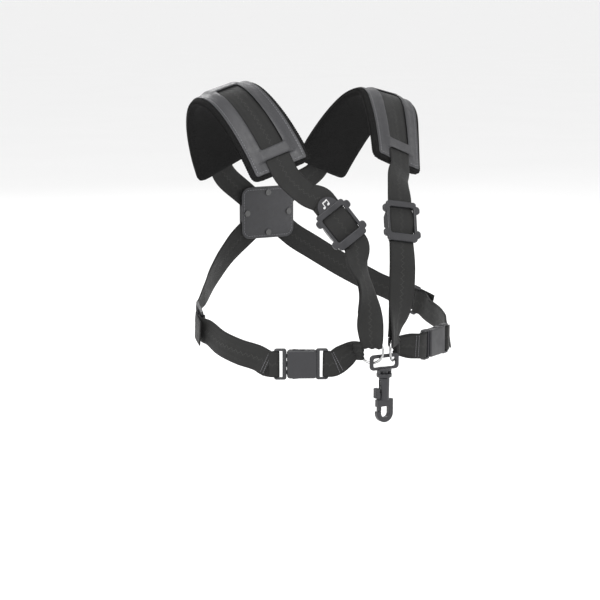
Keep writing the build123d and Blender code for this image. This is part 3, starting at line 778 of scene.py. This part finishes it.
# --- Webbing -------------------------------------------------------------------------------
def gathered(route, end_half, reach, full=WEB_WIDTH / 2):
    """Half width that grows from a bunched end to the full width."""
    share = np.clip(route.run / reach, 0, 1)
    return end_half + (full - end_half) * share * share * (3 - 2 * share)


def pleats(reach, depth, waves, seed):
    """Folds that fade out over the reach, with the webbing's own unevenness."""
    rest = ripple(seed, 0.35)

    def lift(run, across):
        fade = np.clip(1 - run / reach, 0, 1) ** 1.5
        return rest(run, across) + depth * fade * np.sin(across * waves + 0.7 + run * 0.05)

    return lift


def main_webbing(side):
    """Webbing from the ring over the shoulder and across the back to the rear slider."""
    other = "left" if side == "right" else "right"
    centre = ring_centre(side)
    facing = ring_facing(side)
    low = centre + (0, 0, RING_RADIUS - 5.6)
    turn = wrap(low, facing, (0, 0, -1), 2.5, -80, 80)
    start = (low + vec((0, 0, 6)) - facing * 2.4, -facing)
    above = (low + vec((0, 0, 7)) + facing * 2.4, facing)
    front = [start] + turn + [above] + chest_stations(side)
    level = PAD_THICK + CLEAR + WEB_THICK / 2
    over = []
    for (place, out), ahead in zip(PAD_ROUTE[side], pad_heads(side)):
        flat = unit(np.cross(np.cross(ahead, out), ahead))
        over.append((vec(place) + flat * level, flat, ahead))
    origin, forward, _, out = rear_frame(other)
    back = back_stations(side)
    back += [(origin + forward * along + out * rise, out) for along, rise in REAR_WEAVE]
    route = Route(front + over + back, 1.7)
    half = gathered(route, 9.4, 34)
    piece = ribbon(f"{side}_webbing", route, half, WEB_THICK, WEBBING, pleats(46, 0.9, 0.75, 3 + SIDES[side]))
    attach(piece, "webbing", "harness", f"{side}_main_strap")


def pad_heads(side):
    points = vec([place for place, _ in PAD_ROUTE[side]])
    heads = []
    for index in range(len(points)):
        heads.append(unit(points[min(index + 1, len(points) - 1)] - points[max(index - 1, 0)]))
    return heads


def return_webbing(side):
    """The second layer, from behind the ring up to its sewn eye on the slider."""
    centre = ring_centre(side)
    facing = ring_facing(side)
    low = centre + (0, 0, RING_RADIUS - 5.6)
    stations = [(low + vec((0, 0, 4)) - facing * 2.4, facing)]
    drop = WEB_THICK + CLEAR
    chest = chest_stations(side)
    for station in chest[1:6]:
        stations.append((vec(station[0]) - unit(station[1]) * drop,) + tuple(station[1:]))
    origin, across, up, out = slider_frame(side)
    points = [origin + up * height + out * depth for height, depth in EYE_ROUTE]
    for index, point in enumerate(points):
        chord = points[min(index + 1, len(points) - 1)] - points[max(index - 1, 0)]
        stations.append((point, np.cross(across, chord)))
    route = Route(stations, 1.6)
    half = gathered(route, 9.2, 30)
    piece = ribbon(f"{side}_return_webbing", route, half, WEB_THICK, WEBBING, pleats(40, 0.8, 0.7, 9))
    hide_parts(f"{side}_return_strap")
    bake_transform(piece)


# Height and depth of the webbing over the middle bar.
FILL_PROFILE = [(-14.5, 0.78), (-10.5, 0.95), (-5, 2.3), (1, 3.0), (7, 2.3), (12.5, 0.95), (17, 0.78)]


def slider_fill(side):
    """Webbing that bulges over the middle bar inside the slider's window."""
    origin, _, up, out = slider_frame(side)
    stations = []
    for height, depth in FILL_PROFILE:
        stations.append((origin + up * height + out * depth, out))
    route = Route(stations, 1.2)
    piece = ribbon(f"{side}_slider_webbing", route, 12.4, 0.25, WEBBING, None)
    attach(piece, "webbing", f"{side}_slider")


def loop_route(middle, start_bar, end_bar):
    """Two layers sewn together with an eye round a bar at each end, as one closed run."""
    gap = WEB_THICK / 2 + 0.1
    outer = [(vec(p) + unit(n) * gap, n) for p, n in middle]
    inner = [(vec(p) - unit(n) * gap, -vec(n)) for p, n in reversed(middle)]
    turn_end = wrap(*end_bar, EYE_RADIUS, 90, -90)
    turn_start = wrap(*start_bar, EYE_RADIUS, -90, 90)
    return Route(outer + turn_end + inner + turn_start + [outer[0]], 1.7)


def bar_stitching(name, route, spots, body):
    """Rows of thread across the webbing where its two layers are sewn together."""
    lines = []
    for run in spots:
        across = np.linspace(-10.5, 10.5, 15)
        places = route.at(np.full(15, run), across, np.full(15, WEB_THICK / 2 + 0.12))
        lines.append((places, normals_at(route, np.full(15, run))))
    attach(stitches(name, lines, THREAD, 2.1, 1.7, 0.26), "webbing", body)


def front_belt(side):
    """Belt webbing between the ring and the buckle's socket half."""
    tangent = ring_tangent(side)
    ring_side = ring_centre(side) - tangent * (RING_RADIUS - 0.5)
    origin, along, _, out = buckle_frame(side)
    bar = origin + along * BUCKLE_BAR
    near_ring = ring_side - tangent * 7
    near_bar = bar + along * 7
    facing = ring_facing(side)
    middle = [(near_ring, facing), ((near_ring + near_bar) / 2, out), (near_bar, out)]
    route = loop_route(middle, (ring_side, facing, tangent), (bar, out, -along))
    total = route.length
    gap = np.linalg.norm(near_bar - near_ring)
    from_ring = np.minimum(route.run, np.abs(total - 16 - route.run))
    from_ring = np.where(route.run > total - 18, 0, from_ring)
    share = np.clip(from_ring / min(26, gap), 0, 1)
    half = 8.3 + 3.9 * share * share * (3 - 2 * share)
    rest = ripple(31 + SIDES[side], 0.4)

    def lift(run, across):
        near = np.minimum(run, np.abs(total - 16 - run))
        near = np.where(run > total - 18, 0, near)
        fade = np.clip(1 - near / 30, 0, 1) ** 1.3
        return rest(run, across) + 0.55 * fade * np.sin(across * 1.05 + 0.4)

    piece = ribbon(f"{side}_front_belt", route, half, WEB_THICK, WEBBING, lift)
    attach(piece, "webbing", "harness", f"{side}_front_belt_strap")
    bar_stitching(f"{side}_front_belt_thread", route, (gap - 2.5, gap - 5.5), "harness")


def side_belt(side):
    """Belt webbing from the buckle's plug half round the ribs to the rear slider."""
    sign = SIDES[side]
    origin, along, _, out = buckle_frame(side)
    bar = origin - along * BUCKLE_BAR
    rear, forward, _, rear_out = rear_frame(side)
    rear_bar = rear + forward * REAR_BAR
    lift_by = BUCKLE_PLACE[side][2] + 236
    middle = [(bar - along * 7, out)]
    count = len(SIDE_ROUTE)
    for index, (place, normal) in enumerate(reversed(SIDE_ROUTE)):
        share = (count - index) / (count + 1)
        middle.append((mirrored(place, sign) + (0, 0, lift_by * share), mirrored(normal, sign)))
    middle.append((rear_bar + forward * 7, rear_out))
    route = loop_route(middle, (bar, out, along), (rear_bar, rear_out, -forward))
    piece = ribbon(f"{side}_side_belt", route, 12.3, WEB_THICK, WEBBING, ripple(51 + sign, 0.1))
    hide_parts(f"{side}_side_strap")
    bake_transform(piece)
    bar_stitching(f"{side}_side_belt_thread", route, (1.5, 4.5), f"{side}_plug")


# --- Crossing on the back ----------------------------------------------------------------------
# Distance in from the patch's edge and height there, as a share of its half thickness.
PATCH_PROFILE = [(0, -0.5), (0, 0.2), (0.4, 0.55), (1.6, 0.7),
                 (2.7, 0.45), (3.9, 0.75), (9, 0.95), (17, 1.0)]
PATCH_SEAM = 2.7


def patch(name, node, depth, sign):
    """Leather patch with a crowned face and a line of stitching inside its edge."""
    half_x, half_z, corner = 31.0, 27.0, 9.0
    rings = []
    for inset, level in PATCH_PROFILE:
        rings.append((outline(half_x - inset, half_z - inset, max(corner - inset, 2)), level))
    points, faces = [], []
    for ring, level in rings:
        for x, z in ring:
            points.append((x, depth + sign * level * 0.7, CROSS[2] + z))
    size = len(rings[0][0])
    for row in range(len(rings) - 1):
        for index in range(size):
            after = (index + 1) % size
            faces.append((row * size + index, row * size + after,
                          (row + 1) * size + after, (row + 1) * size + index))
    faces.append([(len(rings) - 1) * size + index for index in range(size)])
    faces.append(list(range(size))[::-1])
    attach(new_object(name, points, faces, None, LEATHER), "leather", "harness", node)
    ring = outline(half_x - PATCH_SEAM, half_z - PATCH_SEAM, corner - PATCH_SEAM)
    places = [(x, depth + sign * 0.5, CROSS[2] + z) for x, z in ring + ring[:1]]
    thread = stitches(f"{name}_thread", [(places, [(0, sign, 0)] * len(places))], THREAD, 3.0, 2.1, 0.27)
    attach(thread, "leather", "harness")


def outline(half_x, half_z, corner):
    """Points round a rounded rectangle."""
    points = []
    for quarter, (x, z) in enumerate(((1, 1), (-1, 1), (-1, -1), (1, -1))):
        for step in range(9):
            angle = math.radians(quarter * 90 + step * 11.25)
            points.append((x * (half_x - corner) + corner * math.cos(angle),
                           z * (half_z - corner) + corner * math.sin(angle)))
    return points


# --- Bolt spring -----------------------------------------------------------------------------------
def bolt_spring():
    """Coil spring in the hook's barrel, which shortens as the bolt slides up."""
    low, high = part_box("latch_spring")
    middle = np.array((low + high) / 2) / MM
    coil, wire, turns, sides = 1.15, 0.25, 7, 8
    top, bottom = high.z / MM - wire, low.z / MM + wire
    points, faces = [], []
    steps = turns * 16
    for step in range(steps + 1):
        angle = 2 * math.pi * turns * step / steps
        radial = vec((math.cos(angle), math.sin(angle), 0))
        centre = vec((middle[0], middle[1], bottom + (top - bottom) * step / steps)) + radial * coil
        for turn in range(sides):
            lean = 2 * math.pi * turn / sides
            points.append(centre + radial * wire * math.cos(lean) + vec((0, 0, wire * math.sin(lean))))
    for step in range(steps):
        for turn in range(sides):
            after = (turn + 1) % sides
            first = step * sides
            faces.append((first + turn, first + after, first + sides + after, first + sides + turn))
    faces.append(list(range(sides))[::-1])
    faces.append([steps * sides + turn for turn in range(sides)])
    piece = new_object("bolt_spring", points, faces, None, CHROME)
    attach(piece, "ring_metal", "hook", "latch_spring")
    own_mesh(piece)


# --- Build ------------------------------------------------------------------------------------------
for side in SIDES:
    cushion(side)
    leather(side)
    main_webbing(side)
    return_webbing(side)
    slider_fill(side)
    front_belt(side)
    side_belt(side)

outer_depth = CROSS_DEPTH["right"] + WEB_THICK / 2 + CLEAR + 0.7
inner_depth = CROSS_DEPTH["left"] - WEB_THICK / 2 - CLEAR - 0.7
patch("outer_patch", "cross_patch_outer", outer_depth, 1)
patch("inner_patch", "cross_patch_inner", inner_depth, -1)
bolt_spring()

FINISHES = {
    PLASTIC: ["front_slider", "buckle_female", "buckle_male", "buckle_arms", "rear_slider"],
    CHROME: ["ring"],
}
for finish, parts in FINISHES.items():
    for part in parts:
        for side in SIDES:
            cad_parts[f"{side}_{part}"].material_slots[0].material = finish
for part, finish in (("slider_emblem", SILVER), ("cross_rivets", RIVET), ("swivel_eye", PLASTIC),
                     ("hook_body", PLASTIC), ("latch_bolt", PLASTIC)):
    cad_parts[part].material_slots[0].material = finish


# --- Floor, light and camera --------------------------------------------------------------------------
def studio():
    scene = bpy.context.scene
    scene.view_settings.view_transform = "Standard"
    low = cad_box[0].z - 0.09
    bpy.ops.mesh.primitive_plane_add(size=300, location=(0, 0, low))
    floor = bpy.context.object
    floor.name = "floor"
    paint = Paint("floor", Roughness=0.9, Specular_IOR_Level=0.2)
    paint.colour(paint.mix(paint.noise(3, 3), grey(0.93), grey(0.96)))
    floor.data.materials.append(paint.material)
    world = bpy.data.worlds.new("studio")
    world.use_nodes = True
    world.node_tree.nodes["Background"].inputs[0].default_value = (1, 1, 1, 1)
    world.node_tree.nodes["Background"].inputs[1].default_value = 0.93
    scene.world = world
    target = Vector((-0.03, -0.05, -0.12))
    for name, place, size, power in (
        ("key", (-0.9, -1.6, 1.5), 1.1, 30),
        ("fill", (1.7, -1.3, 0.6), 1.4, 12),
        ("back", (0.3, 1.9, 1.3), 1.2, 18),
        ("strip", (-1.6, -0.2, 0.7), 0.7, 10),
    ):
        light = bpy.data.lights.new(name, "AREA")
        light.size = size
        light.energy = power
        lamp = bpy.data.objects.new(name, light)
        lamp.location = place
        lamp.rotation_euler = (target - Vector(place)).to_track_quat("-Z", "Y").to_euler()
        scene.collection.objects.link(lamp)


def camera():
    data = bpy.data.cameras.new("camera")
    data.sensor_width = 36
    data.lens = 118.4
    eye = bpy.data.objects.new("camera", data)
    place = Vector((-1.0177, -1.7175, 0.1189))
    aim = Vector((-0.0515, -0.070, -0.1863))
    eye.location = place
    eye.rotation_euler = (aim - place).to_track_quat("-Z", "Y").to_euler()
    bpy.context.scene.collection.objects.link(eye)
    bpy.context.scene.camera = eye


studio()
camera()
